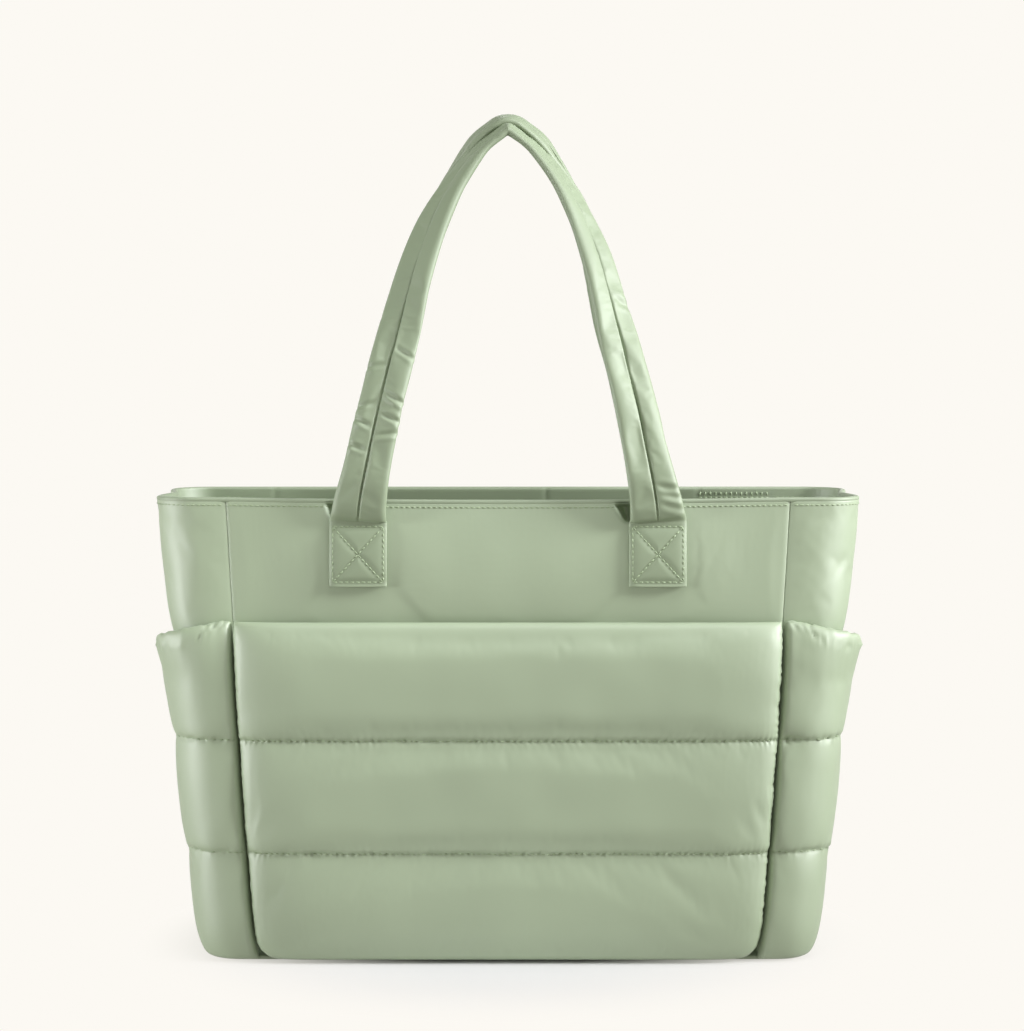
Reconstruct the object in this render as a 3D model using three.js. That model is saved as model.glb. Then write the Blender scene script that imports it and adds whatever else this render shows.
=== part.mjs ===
// A soft padded tote bag in satin nylon that stands on its base with both handles drawn up to a peak.
// Millimetres, +Z up, the front faces -Y and the base rests on Z = 0.
import * as THREE from "three";

// Driving dimensions of the body
const RIM_HEIGHT = 298.5; // top edge of the wall panels, under the rolled facing
const POCKET_HEIGHT = 221.5; // mouth of the front pocket
const SEWN_LINES = [72.5, 145.5]; // heights of the two lines that part the pockets into channels
const BASE_THICKNESS = 2.5;
const WALL = 2.4; // plain panel: face cloth, thin wadding and backing
const GAP = 0.35; // between neighbouring pieces
const YOKE_CROWN = 5; // how far the plain upper panels swell
const YOKE_FADE = 70; // stretch beside the corner seams where the swell dies out
const SIDE_DENT = 5; // how far the gussets sink at mid-depth near the rim

// Body wall, outside face, a row for each height
const BODY_SECTIONS = [
  { height: 0, halfWidth: 189, halfDepth: 72, seam: 161, corner: 14 },
  { height: 35, halfWidth: 191.5, halfDepth: 75, seam: 165, corner: 17 },
  { height: 100, halfWidth: 199, halfDepth: 76, seam: 170, corner: 20 },
  { height: 178, halfWidth: 208, halfDepth: 76, seam: 175, corner: 23 },
  { height: 221, halfWidth: 220.5, halfDepth: 75, seam: 177.5, corner: 25 },
  { height: 260, halfWidth: 225.5, halfDepth: 72, seam: 180, corner: 27 },
  { height: 300, halfWidth: 230, halfDepth: 69, seam: 182.5, corner: 28 },
];

// Pockets: the sewn thickness, how far a channel's wadding stands out, and the slack behind the mouth,
// with the stretches from the side seams and the foot over which they come in
const SEWN_THICKNESS = 2.6;
const FRONT_PUFF = 10;
const FRONT_PUFF_RUN = 26;
const FRONT_SLACK = 7.5;
const FRONT_SLACK_RUN = 40;
const FRONT_SLACK_RISE = 60;
const FRONT_CORNER = 16; // round lower corners of the front pocket
const FRONT_INSET = 1.5; // from the corner seams
const SIDE_PUFF = 5;
const SIDE_FRONT_PUFF = 4; // extra on the stretch that faces forward or back
const SIDE_PUFF_RUN = 22;
const SIDE_SLACK = 11.5;
const SIDE_SLACK_RUN = 55;
const SIDE_SLACK_RISE = 40;
const SIDE_MOUTH_DROP = 17; // the side mouths dip away from the corner seams
const SIDE_MOUTH_RUN = 85;
const BACK_PUFF = 13;
const PUFF_FULLNESS = 2.4; // how broad the crest of a channel is
const PUFF_ROUNDNESS = 0.6; // how steeply it rises from a sewn line
const PANEL_FOOT = BASE_THICKNESS + GAP; // panels stand on the base, pockets hang past its edge
const POCKET_FOOT = 0.6;
const FRAME_SHIFT = (GAP + FRONT_SLACK + SEWN_THICKNESS + FRONT_PUFF - BACK_PUFF) / 2; // centres the depth

// Rolled facing round the mouth
const FACING_DEPTH = 26;
const FACING_THICKNESS = 1.4;
const FACING_HANG = 2; // its lower edge hangs a little clear of the panels
const ROLL_HEIGHT = 2.4;
const ROLL_PROUD = 0.7;
const ROLL_INNER_SHARE = 0.5; // of the roll's height, where its crest meets the inner and the outer face
const ROLL_OUTER_SHARE = 0.65;

// Handles: the flat sewn end of a strap, square and stitched to the panel
const SEWN_END = { foot: 243.5, top: 285.5, reach: 96.5, width: 39, thickness: 2.6, spread: 6 };
const SEWN_ROWS = 5;

// The free half of a strap from its sewn end up to the peak, a row for each bend
// reach is the distance from the middle, depth the distance from mid-depth, turn 1 when edge-on, and
// spread how much wider the back strap runs, which lies over the front one at the peak
const STRAP_PATH = [
  { reach: 95, height: 298.5, depth: 79.0, turn: 0.04, width: 36, thickness: 7, spread: 6 },
  { reach: 91, height: 318.5, depth: 79.5, turn: 0.14, width: 33, thickness: 10, spread: 5 },
  { reach: 81, height: 364.5, depth: 69, turn: 0.36, width: 31, thickness: 10, spread: 3 },
  { reach: 69, height: 411.5, depth: 53, turn: 0.5, width: 31, thickness: 10, spread: 1.5 },
  { reach: 54, height: 458.5, depth: 36, turn: 0.67, width: 31, thickness: 10, spread: 1.5 },
  { reach: 36, height: 498.5, depth: 21, turn: 0.88, width: 31, thickness: 9.5, spread: 4.5 },
  { reach: 17, height: 528.5, depth: 10, turn: 1, width: 31, thickness: 6.8, spread: 7.2 },
  { reach: 0, height: 541.5, depth: 6, turn: 1, width: 31, thickness: 6, spread: 7 },
];
const STRAP_SIDES = 14;
const STRAP_STEPS = 2; // rings between two rows
const STRAP_GROOVE = 0.3; // share of the thickness lost along the middle seam
const STRAP_GROOVE_WIDTH = 0.22; // share of the half width
const STRAP_EDGE_POWER = 0.75; // rounding of the edges, and of the faces, of a strap's section
const STRAP_FACE_POWER = 0.6;

// Facets
const PLAIN_ROWS = 5;
const YOKE_ROWS = 6;
const GUSSET_YOKE_ROWS = 3;
const CHANNEL_ROWS = 6;
const ROW_CROWDING = 0.6; // how much closer the rows of a channel lie beside its sewn lines
const PANEL_COLUMNS = 16;
const POCKET_COLUMNS = 18;
const SIDE_COLUMNS = 18;
const RIM_COLUMNS = 8;

const satin = new THREE.MeshStandardMaterial({ color: 0xa5b298, roughness: 0.45, metalness: 0 });
const satinInside = new THREE.MeshStandardMaterial({ color: 0x9ba88e, roughness: 0.55, metalness: 0 });

const clamp = (t) => Math.min(Math.max(t, 0), 1);
const mix = (a, b, t) => a + (b - a) * t;
const ease = (t) => clamp(t) ** 2 * (3 - 2 * clamp(t));
const roundOff = (t) => Math.sqrt(1 - (1 - clamp(t)) ** 2);
const plump = (t) => (1 - Math.abs(2 * clamp(t) - 1) ** PUFF_FULLNESS) ** PUFF_ROUNDNESS;

// A smooth curve through one column of the body table.
function bodyAt(height, column) {
  const last = BODY_SECTIONS.length - 1;
  const slope = (i) => {
    const low = BODY_SECTIONS[Math.max(i - 1, 0)];
    const high = BODY_SECTIONS[Math.min(i + 1, last)];
    return (high[column] - low[column]) / (high.height - low.height);
  };
  let i = 0;
  while (i < last - 1 && height > BODY_SECTIONS[i + 1].height) i++;
  const low = BODY_SECTIONS[i];
  const span = BODY_SECTIONS[i + 1].height - low.height;
  const t = (height - low.height) / span;
  return (
    low[column] * (1 + 2 * t) * (1 - t) ** 2 +
    BODY_SECTIONS[i + 1][column] * t ** 2 * (3 - 2 * t) +
    span * t * (1 - t) * (slope(i) * (1 - t) - slope(i + 1) * t)
  );
}

// Swell of the plain upper panels, none at the pocket mouth, the rim and the corner seams.
function yokeCrown(x, height) {
  const t = clamp((height - POCKET_HEIGHT) / (RIM_HEIGHT - POCKET_HEIGHT));
  return YOKE_CROWN * Math.sin(Math.PI * t) * ease((bodyAt(height, "seam") - Math.abs(x)) / YOKE_FADE);
}

// Share of the wadding that a sewn channel shows at a height, 0 on a sewn line.
function channelPuff(height, foot, mouth) {
  const edges = [foot, ...SEWN_LINES, mouth];
  for (let k = 1; k < edges.length; k++)
    if (height <= edges[k]) return plump((height - edges[k - 1]) / (edges[k] - edges[k - 1]));
  return 0;
}

// Heights of the rows of a quilted piece, its last channel ending at the mouth.
function channelHeights(foot, mouth) {
  const edges = [foot, ...SEWN_LINES, mouth];
  const heights = [foot];
  for (let k = 1; k < edges.length; k++)
    for (let j = 1; j <= CHANNEL_ROWS; j++) {
      const t = j / CHANNEL_ROWS;
      heights.push(mix(edges[k - 1], edges[k], mix(t, ease(t), ROW_CROWDING)));
    }
  return heights;
}

function plainHeights(from, to, rows) {
  return Array.from({ length: rows + 1 }, (_, j) => mix(from, to, j / rows));
}

// One point of the gusset, share 0 at its front seam and 1 at its back seam, with the way out of the bag.
function gussetPoint(height, share) {
  const halfWidth = bodyAt(height, "halfWidth");
  const halfDepth = bodyAt(height, "halfDepth");
  const corner = bodyAt(height, "corner");
  const cornerX = halfWidth - corner;
  const cornerY = halfDepth - corner;
  const flat = cornerX - bodyAt(height, "seam");
  const arc = (corner * Math.PI) / 2;
  const side = 2 * cornerY;
  const length = 2 * (flat + arc) + side;
  const fromSeam = Math.min(share, 1 - share) * length;
  const back = share > 0.5 ? 1 : -1;
  if (fromSeam <= flat)
    return { x: cornerX - flat + fromSeam, y: back * halfDepth, out: [0, back], fromSeam };
  if (fromSeam <= flat + arc) {
    const angle = (fromSeam - flat) / corner;
    const out = [Math.sin(angle), back * Math.cos(angle)];
    return { x: cornerX + corner * out[0], y: back * cornerY + corner * out[1], out, fromSeam };
  }
  const sideShare = (fromSeam - flat - arc) / (side / 2);
  const dent = SIDE_DENT * ease(sideShare) * ease((height - POCKET_HEIGHT) / (RIM_HEIGHT - POCKET_HEIGHT));
  return { x: halfWidth - dent, y: back * cornerY * (1 - sideShare), out: [1, 0], fromSeam };
}

// A closed wall from a grid of places, each with an outside and an inside point.
function wallGeometry(columns, rows, place) {
  const positions = [];
  for (let i = 0; i <= columns; i++)
    for (let j = 0; j <= rows; j++) {
      const { outside, inside } = place(i / columns, j);
      positions.push(...outside, ...inside);
    }
  const at = (i, j, face) => 2 * (i * (rows + 1) + j) + face;
  const index = [];
  const quad = (a, b, c, d) => index.push(a, b, c, a, c, d);
  for (let i = 0; i < columns; i++)
    for (let j = 0; j < rows; j++) {
      quad(at(i, j, 0), at(i + 1, j, 0), at(i + 1, j + 1, 0), at(i, j + 1, 0));
      quad(at(i, j, 1), at(i, j + 1, 1), at(i + 1, j + 1, 1), at(i + 1, j, 1));
    }
  for (let i = 0; i < columns; i++) {
    quad(at(i, 0, 1), at(i + 1, 0, 1), at(i + 1, 0, 0), at(i, 0, 0));
    quad(at(i, rows, 0), at(i + 1, rows, 0), at(i + 1, rows, 1), at(i, rows, 1));
  }
  for (let j = 0; j < rows; j++) {
    quad(at(0, j, 0), at(0, j + 1, 0), at(0, j + 1, 1), at(0, j, 1));
    quad(at(columns, j, 1), at(columns, j + 1, 1), at(columns, j + 1, 0), at(columns, j, 0));
  }
  return indexedGeometry(positions, index);
}

// A tube through rings of points, closed into a hoop or capped at both ends.
function ringGeometry(rings, closed) {
  const sides = rings[0].length;
  const positions = rings.flat().flat();
  const index = [];
  const spans = closed ? rings.length : rings.length - 1;
  for (let k = 0; k < spans; k++)
    for (let m = 0; m < sides; m++) {
      const near = k * sides;
      const far = ((k + 1) % rings.length) * sides;
      const next = (m + 1) % sides;
      index.push(near + m, near + next, far + next, near + m, far + next, far + m);
    }
  if (!closed) {
    const middle = (ring) => [0, 1, 2].map((axis) => ring.reduce((sum, p) => sum + p[axis], 0) / sides);
    const start = positions.length / 3;
    positions.push(...middle(rings[0]), ...middle(rings.at(-1)));
    const lastRing = (rings.length - 1) * sides;
    for (let m = 0; m < sides; m++) {
      const next = (m + 1) % sides;
      index.push(start, next, m, start + 1, lastRing + m, lastRing + next);
    }
  }
  return indexedGeometry(positions, index);
}

function indexedGeometry(positions, index) {
  const geometry = new THREE.BufferGeometry();
  geometry.setAttribute("position", new THREE.Float32BufferAttribute(positions, 3));
  geometry.setIndex(index);
  geometry.computeVertexNormals();
  return geometry;
}

// Front wall: flat behind the pocket, crowned above it.
function frontPanel() {
  const lower = plainHeights(PANEL_FOOT, POCKET_HEIGHT, PLAIN_ROWS);
  const heights = [...lower, ...plainHeights(POCKET_HEIGHT, RIM_HEIGHT, YOKE_ROWS).slice(1)];
  return wallGeometry(PANEL_COLUMNS, heights.length - 1, (u, j) => {
    const height = heights[j];
    const x = mix(-1, 1, u) * (bodyAt(height, "seam") - GAP / 2);
    const y = -bodyAt(height, "halfDepth") - yokeCrown(x, height);
    return { outside: [x, y, height], inside: [x, y + WALL, height] };
  });
}

// Back wall: three padded channels below, crowned above.
function backPanel() {
  const lower = channelHeights(PANEL_FOOT, POCKET_HEIGHT);
  const heights = [...lower, ...plainHeights(POCKET_HEIGHT, RIM_HEIGHT, YOKE_ROWS).slice(1)];
  return wallGeometry(PANEL_COLUMNS, heights.length - 1, (u, j) => {
    const height = heights[j];
    const half = bodyAt(height, "seam") - GAP / 2;
    const x = half * Math.sin((Math.PI / 2) * mix(1, -1, u));
    const fromSeam = half - Math.abs(x);
    const swell = channelPuff(height, PANEL_FOOT, POCKET_HEIGHT) * roundOff(fromSeam / FRONT_PUFF_RUN);
    const wall = bodyAt(height, "halfDepth") + yokeCrown(x, height);
    return { outside: [x, wall + BACK_PUFF * swell, height], inside: [x, wall - WALL, height] };
  });
}

// Right gusset, from its front seam round the end to its back seam.
function sidePanel() {
  const lower = plainHeights(PANEL_FOOT, POCKET_HEIGHT, PLAIN_ROWS);
  const heights = [...lower, ...plainHeights(POCKET_HEIGHT, RIM_HEIGHT, GUSSET_YOKE_ROWS).slice(1)];
  return wallGeometry(SIDE_COLUMNS, heights.length - 1, (u, j) => {
    const height = heights[j];
    const { x, y, out } = gussetPoint(height, u);
    const inX = x - WALL * out[0];
    const inY = y - WALL * out[1];
    const seamGap = u === 0 || u === 1 ? GAP / 2 : 0;
    return { outside: [x + seamGap, y, height], inside: [inX + seamGap, inY, height] };
  });
}

// Flat bottom, inside the foot of the gussets and panels.
function basePanel() {
  const right = Array.from({ length: SIDE_COLUMNS + 1 }, (_, k) => gussetPoint(0, k / SIDE_COLUMNS));
  const left = right.toReversed().map(({ x, y }) => ({ x: -x, y }));
  const outline = new THREE.Shape([...right, ...left].map(({ x, y }) => new THREE.Vector2(x, y)));
  return new THREE.ExtrudeGeometry(outline, { depth: BASE_THICKNESS, bevelEnabled: false });
}

// Front pocket: sewn down at its sides and foot, with slack behind the mouth and three padded channels.
function frontPocket() {
  const heights = channelHeights(POCKET_FOOT, POCKET_HEIGHT);
  return wallGeometry(POCKET_COLUMNS, heights.length - 1, (u, j) => {
    const height = heights[j];
    const corner = FRONT_CORNER * (1 - roundOff((height - POCKET_FOOT) / FRONT_CORNER));
    const half = bodyAt(height, "seam") - FRONT_INSET - corner;
    const x = half * Math.sin((Math.PI / 2) * mix(-1, 1, u));
    const fromSeam = half - Math.abs(x);
    const rise = roundOff((height - POCKET_FOOT) / FRONT_SLACK_RISE);
    const slack = FRONT_SLACK * roundOff(fromSeam / FRONT_SLACK_RUN) * rise;
    const swell = channelPuff(height, POCKET_FOOT, POCKET_HEIGHT) * roundOff(fromSeam / FRONT_PUFF_RUN);
    const back = -bodyAt(height, "halfDepth") - GAP - slack;
    return { outside: [x, back - SEWN_THICKNESS - FRONT_PUFF * swell, height], inside: [x, back, height] };
  });
}

// Right side pocket, on the gusset's path and standing off it.
function sidePocket() {
  const rows = channelHeights(POCKET_FOOT, POCKET_HEIGHT).length - 1;
  return wallGeometry(SIDE_COLUMNS, rows, (u, j) => {
    const { fromSeam: atMouth } = gussetPoint(POCKET_HEIGHT, u);
    const mouth = POCKET_HEIGHT - SIDE_MOUTH_DROP * ease(atMouth / SIDE_MOUTH_RUN);
    const height = channelHeights(POCKET_FOOT, mouth)[j];
    const { x, y, out, fromSeam } = gussetPoint(height, u);
    const roundEnd = ease(fromSeam / SIDE_SLACK_RUN);
    const slack = SIDE_SLACK * roundEnd * roundOff((height - POCKET_FOOT) / SIDE_SLACK_RISE);
    const wadding = SIDE_PUFF + SIDE_FRONT_PUFF * (1 - roundEnd);
    const puff = wadding * channelPuff(height, POCKET_FOOT, mouth) * roundOff(fromSeam / SIDE_PUFF_RUN);
    const near = GAP + slack;
    const far = near + SEWN_THICKNESS + puff;
    return {
      outside: [x + far * out[0] + GAP, y + far * out[1], height],
      inside: [x + near * out[0] + GAP, y + near * out[1], height],
    };
  });
}

// Hook-shaped band: a facing inside the panels whose rolled edge covers their tops.
function rimFacing() {
  const behind = WALL + GAP;
  const foot = RIM_HEIGHT - FACING_DEPTH;
  const section = [
    { inward: behind + FACING_HANG + FACING_THICKNESS, height: foot },
    { inward: behind + FACING_THICKNESS, height: RIM_HEIGHT + ROLL_HEIGHT * ROLL_INNER_SHARE },
    { inward: behind / 2, height: RIM_HEIGHT + ROLL_HEIGHT },
    { inward: -ROLL_PROUD, height: RIM_HEIGHT + ROLL_HEIGHT * ROLL_OUTER_SHARE },
    { inward: -ROLL_PROUD, height: RIM_HEIGHT + GAP },
    { inward: behind, height: RIM_HEIGHT + GAP },
    { inward: behind + FACING_HANG / 2, height: mix(foot, RIM_HEIGHT, 0.5) },
    { inward: behind + FACING_HANG, height: foot },
  ];
  const ring = (wall) =>
    section.map(({ inward, height }) => {
      const { x, y, out } = wall(Math.min(height, RIM_HEIGHT));
      return [x - inward * out[0], y - inward * out[1], height];
    });
  const plain = (share, back) => (height) => {
    const x = mix(-1, 1, share) * bodyAt(height, "seam") * -back;
    return { x, y: back * (bodyAt(height, "halfDepth") + yokeCrown(x, height)), out: [0, back] };
  };
  const gusset = (share, mirror) => (height) => {
    const { x, y, out } = gussetPoint(height, share);
    return { x: mirror * x, y, out: [mirror * out[0], out[1]] };
  };
  const rings = [];
  const steps = (count, make) => {
    for (let k = 0; k < count; k++) rings.push(ring(make(k / count)));
  };
  steps(RIM_COLUMNS, (t) => plain(t, -1));
  steps(SIDE_COLUMNS, (t) => gusset(t, 1));
  steps(RIM_COLUMNS, (t) => plain(t, 1));
  steps(SIDE_COLUMNS, (t) => gusset(1 - t, -1));
  return ringGeometry(rings, true);
}

// Two-lobed section of a padded strap, with the seam's groove down the middle of both faces.
function strapSection(width, thickness) {
  return Array.from({ length: STRAP_SIDES }, (_, m) => {
    const angle = (2 * Math.PI * m) / STRAP_SIDES;
    const across = Math.sign(Math.cos(angle)) * Math.abs(Math.cos(angle)) ** STRAP_EDGE_POWER;
    const through = Math.sign(Math.sin(angle)) * Math.abs(Math.sin(angle)) ** STRAP_FACE_POWER;
    const groove = 1 - STRAP_GROOVE * Math.exp(-((across / STRAP_GROOVE_WIDTH) ** 2));
    return { across: (across * width) / 2, through: (through * groove * thickness) / 2 };
  });
}

// Rows of the sewn end, which lies on the swell of the panel.
function sewnRows() {
  const { foot, top, reach, width, thickness, spread } = SEWN_END;
  return plainHeights(foot, top, SEWN_ROWS - 1).map((height) => {
    const depth = bodyAt(height, "halfDepth") + yokeCrown(reach, height) + GAP + thickness / 2;
    return { reach, height, depth, turn: 0, width, thickness, spread };
  });
}

// Padded strap from the right sewn end over the peak to the left one; facing is -1 in front, 1 behind.
function handle(facing) {
  const half = [...sewnRows(), ...STRAP_PATH];
  const otherHalf = half.slice(0, -1).reverse();
  const rows = [...half, ...otherHalf.map((row) => ({ ...row, reach: -row.reach }))];
  const points = rows.map((row) => new THREE.Vector3(row.reach, facing * row.depth, row.height));
  const curve = new THREE.CatmullRomCurve3(points);
  const rings = [];
  const count = (rows.length - 1) * STRAP_STEPS;
  for (let k = 0; k <= count; k++) {
    const low = Math.min(Math.floor(k / STRAP_STEPS), rows.length - 2);
    const t = k / STRAP_STEPS - low;
    const value = (column) => mix(rows[low][column], rows[low + 1][column], t);
    const along = curve.getTangent(k / count);
    const front = new THREE.Vector3(0, facing, 0).addScaledVector(along, -facing * along.y).normalize();
    const outward = along.clone().cross(front).multiplyScalar(-facing);
    const angle = (value("turn") * Math.PI) / 2;
    const normal = front.clone().multiplyScalar(Math.cos(angle)).addScaledVector(outward, Math.sin(angle));
    const across = normal.clone().cross(along);
    const centre = curve.getPoint(k / count).addScaledVector(outward, facing > 0 ? value("spread") : 0);
    rings.push(
      strapSection(value("width"), value("thickness")).map((p) =>
        centre.clone().addScaledVector(across, p.across).addScaledVector(normal, p.through).toArray(),
      ),
    );
  }
  return ringGeometry(rings, false);
}

const bag = new THREE.Group();
bag.position.y = FRAME_SHIFT;

function addPiece(name, geometry, material, mirrored = false) {
  const mesh = new THREE.Mesh(geometry, material);
  mesh.name = name;
  if (mirrored) mesh.scale.x = -1;
  bag.add(mesh);
}

addPiece("front_panel", frontPanel(), satin);
addPiece("back_panel", backPanel(), satin);
addPiece("right_side_panel", sidePanel(), satin);
addPiece("left_side_panel", sidePanel(), satin, true);
addPiece("base_panel", basePanel(), satin);
addPiece("rim_facing", rimFacing(), satinInside);
addPiece("front_pocket", frontPocket(), satin);
addPiece("right_side_pocket", sidePocket(), satin);
addPiece("left_side_pocket", sidePocket(), satin, true);
addPiece("front_handle", handle(-1), satin);
addPiece("back_handle", handle(1), satin);

const model = new THREE.Group();
model.add(bag);

export default model;
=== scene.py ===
"""Looks of a padded tote bag in satin nylon, built round its packed CAD part. Metres, +Z up, the front faces -Y."""

import math

import bpy
import numpy as np
from bpy.props import FloatProperty, FloatVectorProperty, IntProperty, PointerProperty
from bpy.types import Operator, Panel, PropertyGroup
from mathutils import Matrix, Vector, noise
from mathutils.bvhtree import BVHTree


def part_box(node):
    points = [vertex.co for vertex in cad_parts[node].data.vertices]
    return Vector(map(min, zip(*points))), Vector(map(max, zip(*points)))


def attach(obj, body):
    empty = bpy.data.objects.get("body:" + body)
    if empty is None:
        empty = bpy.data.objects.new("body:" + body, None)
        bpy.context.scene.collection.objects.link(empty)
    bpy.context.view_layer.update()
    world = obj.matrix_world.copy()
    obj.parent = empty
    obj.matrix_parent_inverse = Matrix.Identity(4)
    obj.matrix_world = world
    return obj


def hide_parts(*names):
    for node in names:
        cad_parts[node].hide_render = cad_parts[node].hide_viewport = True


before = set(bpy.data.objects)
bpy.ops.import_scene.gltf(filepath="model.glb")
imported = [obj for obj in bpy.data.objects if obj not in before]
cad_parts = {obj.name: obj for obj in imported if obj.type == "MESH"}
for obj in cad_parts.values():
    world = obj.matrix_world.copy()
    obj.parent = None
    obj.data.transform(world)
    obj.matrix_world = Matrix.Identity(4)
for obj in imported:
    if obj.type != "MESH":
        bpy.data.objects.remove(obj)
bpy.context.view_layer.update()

bl_info = {
    "name": "Padded Tote Bag",
    "version": (1, 0, 0),
    "blender": (4, 5, 0),
    "location": "View3D > Sidebar > Tote Bag",
    "description": "Builds the padded cloth, the handles and the stitching of a satin nylon tote bag",
    "category": "Object",
}

BODY = "root"

# Places that come from the frame
FLOOR_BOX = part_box("base_panel")
MID_DEPTH = (FLOOR_BOX[0].y + FLOOR_BOX[1].y) / 2
BASE_TOP = FLOOR_BOX[1].z
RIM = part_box("front_panel")[1].z
PANEL_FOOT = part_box("front_panel")[0].z
POCKET_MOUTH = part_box("front_pocket")[1].z
POCKET_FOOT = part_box("front_pocket")[0].z
FACING_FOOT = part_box("rim_facing")[0].z
ROLL_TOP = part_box("rim_facing")[1].z
TAB_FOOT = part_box("front_handle")[0].z

# Outside of the body wall, a row for each height: height, half width, half depth, corner seam, corner radius
BODY_SECTIONS = np.array(
    [
        (0.000, 0.1890, 0.072, 0.1610, 0.014),
        (0.035, 0.1915, 0.075, 0.1650, 0.017),
        (0.100, 0.1990, 0.076, 0.1700, 0.020),
        (0.178, 0.2080, 0.076, 0.1750, 0.023),
        (0.221, 0.2205, 0.075, 0.1775, 0.025),
        (0.260, 0.2255, 0.072, 0.1800, 0.027),
        (0.300, 0.2300, 0.069, 0.1825, 0.028),
    ]
)

# How far the wadding sinks in each channel, from the foot up: 1 is even, less is lower
CHANNEL_SAG = (0.50, 0.72, 0.76)

# Free half of a strap, from its sewn end up to the peak: distance from the middle, height, distance from
# mid-depth, width, thickness, how much wider the back strap runs, and the turn (1 is edge-on) of the front
# strap's right leg, of its left leg and of the back strap
STRAP_PATH = np.array(
    [
        (0.0962, 0.2890, 0.0768, 0.0375, 0.0055, 0.0060, 0.02, 0.01, 0.02),
        (0.0950, 0.2985, 0.0785, 0.0355, 0.0075, 0.0060, 0.05, 0.04, 0.04),
        (0.0910, 0.3185, 0.0785, 0.0325, 0.0084, 0.0050, 0.14, 0.11, 0.14),
        (0.0810, 0.3645, 0.0690, 0.0305, 0.0084, 0.0030, 0.29, 0.20, 0.36),
        (0.0690, 0.4115, 0.0530, 0.0300, 0.0084, 0.0015, 0.42, 0.29, 0.50),
        (0.0555, 0.4585, 0.0360, 0.0300, 0.0082, 0.0020, 0.56, 0.43, 0.70),
        (0.0390, 0.4970, 0.0210, 0.0295, 0.0078, 0.0050, 0.74, 0.62, 0.96),
        (0.0200, 0.5250, 0.0100, 0.0280, 0.0066, 0.0072, 0.83, 0.80, 1.14),
        (0.0060, 0.5385, 0.0065, 0.0270, 0.0062, 0.0072, 0.85, 0.85, 1.14),
        (0.0016, 0.5421, 0.0060, 0.0270, 0.0062, 0.0070, 0.85, 0.85, 1.14),
        (0.0000, 0.5430, 0.0060, 0.0270, 0.0062, 0.0070, 0.85, 0.85, 1.14),
    ]
)

# Crosswise creases of the front strap: leg (-1 left, 1 right), height, half of the strap (-1 outer, 1 inner),
# length along the strap, depth, and slant
STRAP_CREASES = (
    (-1, 0.3975, 1, 0.0014, 0.0014, 0.5),
    (-1, 0.3860, -1, 0.0014, 0.0014, -0.4),
    (-1, 0.3685, 1, 0.0014, 0.0017, 0.4),
    (-1, 0.3620, -1, 0.0014, 0.0013, -0.5),
    (-1, 0.3555, 1, 0.0014, 0.0017, 0.3),
    (-1, 0.3450, -1, 0.0014, 0.0017, 0.3),
    (-1, 0.3400, 1, 0.0014, 0.0014, -0.3),
    (-1, 0.3300, -1, 0.0014, 0.0014, 0.2),
    (1, 0.3080, -1, 0.0018, 0.0011, 0.3),
    (1, 0.3030, -1, 0.0018, 0.0013, 0.3),
    (1, 0.2985, -1, 0.0018, 0.0011, 0.4),
    (1, 0.4300, -1, 0.0025, 0.0010, 0.6),
)

# Dents of the front rim beside the straps: middle, reach away from the strap, reach towards it, depth
RIM_DENTS = ((-0.1130, 0.0075, 0.0040, 0.0055), (0.0770, 0.0120, 0.0040, 0.0105))

# Camera that fits the photograph, and the tint of the lamps
CAMERA_PLACE = (0.0026, -1.970, 0.405)
CAMERA_DOWN = math.radians(3.483)
LAMP_TINT = (0.96, 0.965, 1)

# Cross seams of the facing at the back, measured from the middle
FACING_SEAMS = (-0.161, 0.026, 0.131)

# Walls at the corner seams and at the rim: reach and depth of the edge that turns in, the last row below the rim,
# and the stretches below the rim and beside the sewn lines where the cloth is held
TURN_REACH, TURN_DEPTH = 0.0025, 0.0009
LAST_ROW = 0.0005
RIM_HOLD = 0.012
LINE_HOLD = 0.02

# Rows of stitches: depth below the rim of the row outside, of the row on the facing and of the facing's upright
# bars, the heights between which the straps' middle seam is sewn, and how far off the cloth a stitch is dropped
RIM_ROW, FACING_ROW, FACING_BARS = 0.0027, 0.0052, 0.0024
STRAP_SEAM = (0.287, 0.385)
DROP_FROM = 0.03


def length(name, text, default):
    """A size in metres that the sidebar shows in the scene's units."""
    return FloatProperty(
        name=name, description=text, default=default, unit="LENGTH", subtype="DISTANCE", precision=4
    )


def colour(name, text, default):
    """A linear colour."""
    return FloatVectorProperty(name=name, description=text, default=default, subtype="COLOR", min=0, max=1)


class ToteBody(PropertyGroup):
    """Sizes of the walls."""

    wall: length("Wall", "Thickness of the plain panels", 0.0024)
    gap: length("Gap", "Room between neighbouring pieces", 0.00035)
    yoke_crown: length("Yoke swell", "How far the plain upper panels swell", 0.005)
    yoke_fade: length("Yoke fade", "Stretch beside the corner seams where the swell dies out", 0.07)
    side_dent: length("Side dent", "How far the gussets sink at mid-depth near the rim", 0.005)
    lower_seam: length("Lower seam", "Height of the lower sewn line", 0.0725)
    upper_seam: length("Upper seam", "Height of the upper sewn line", 0.1455)
    rim_sag: length("Rim sag", "How far the middle of the front rim hangs", 0.0016)


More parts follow.
